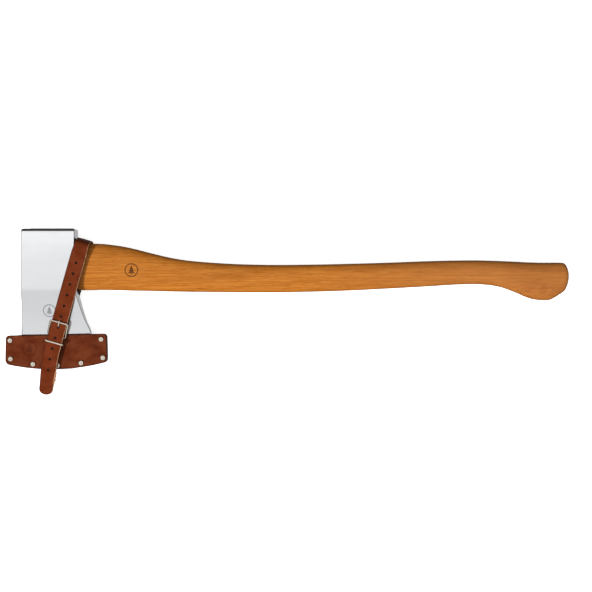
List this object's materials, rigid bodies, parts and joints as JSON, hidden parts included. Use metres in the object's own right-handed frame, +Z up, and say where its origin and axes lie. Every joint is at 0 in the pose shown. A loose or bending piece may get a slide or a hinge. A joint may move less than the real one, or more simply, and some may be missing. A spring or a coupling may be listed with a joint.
{
  "type": "felling axe with leather edge guard",
  "caption": "Long-handled axe with a polished steel head, a curved wooden handle and a riveted leather edge guard held on by a buckled strap.",
  "frame": {"origin": "middle of the lowest face of the whole object's box, lying flat on its side", "axes": "+X along the handle to the knob, +Y to the poll, +Z up towards the buckle's side"},
  "size_m": [0.825, 0.243, 0.0479],
  "materials": {
    "polished_steel": "ground and polished, near mirror",
    "hickory": "oiled, satin",
    "wedge_wood": "sawn, oiled",
    "ring_steel": "as forged",
    "guard_leather": "waxed vegetable tanned",
    "strap_leather": "waxed vegetable tanned",
    "welt_leather": "cut edge",
    "nickel": "nickel plated"
  },
  "bodies": {
    "axe": {"axe_head": "polished_steel", "handle": "hickory", "wooden_wedge": "wedge_wood", "ring_wedge": "ring_steel"},
    "guard": {"guard_front_panel": "guard_leather", "guard_back_panel": "guard_leather", "guard_welt": "welt_leather", "strap": "strap_leather", "chape": "strap_leather", "rivet_cap_1": "nickel", "rivet_cap_2": "nickel", "rivet_cap_3": "nickel", "rivet_cap_4": "nickel", "rivet_cap_5": "nickel", "rivet_cap_6": "nickel", "rivet_cap_7": "nickel", "rivet_post_1": "nickel", "rivet_post_2": "nickel", "rivet_post_3": "nickel", "rivet_post_4": "nickel", "rivet_post_5": "nickel", "rivet_post_6": "nickel", "rivet_post_7": "nickel", "strap_rivet_1": "nickel", "strap_rivet_2": "nickel", "chape_rivet_1": "nickel", "chape_rivet_2": "nickel"},
    "buckle": {"buckle_frame": "nickel"},
    "prong": {"buckle_prong": "nickel"},
    "keeper": {"keeper_loop": "nickel"}
  },
  "joints": [
    {"name": "guard_slide", "type": "slide", "parent": "axe", "child": "guard", "axis": [0, -1, 0], "range_m": [0, 0.042], "deforming": ["strap"]},
    {"name": "buckle_tilt", "type": "hinge", "parent": "guard", "child": "buckle", "pos_m": [-0.336, -0.03573, 0.03505], "axis": [0.9617, -0.274, 0], "range_deg": [0, 8]},
    {"name": "prong_lift", "type": "hinge", "parent": "buckle", "child": "prong", "pos_m": [-0.336, -0.03573, 0.03505], "axis": [0.9617, -0.274, 0], "range_deg": [0, 6]},
    {"name": "keeper_slide", "type": "slide", "parent": "guard", "child": "keeper", "axis": [-0.2728, -0.9578, -0.0907], "range_m": [-0.002, 0.002]}
  ]
}
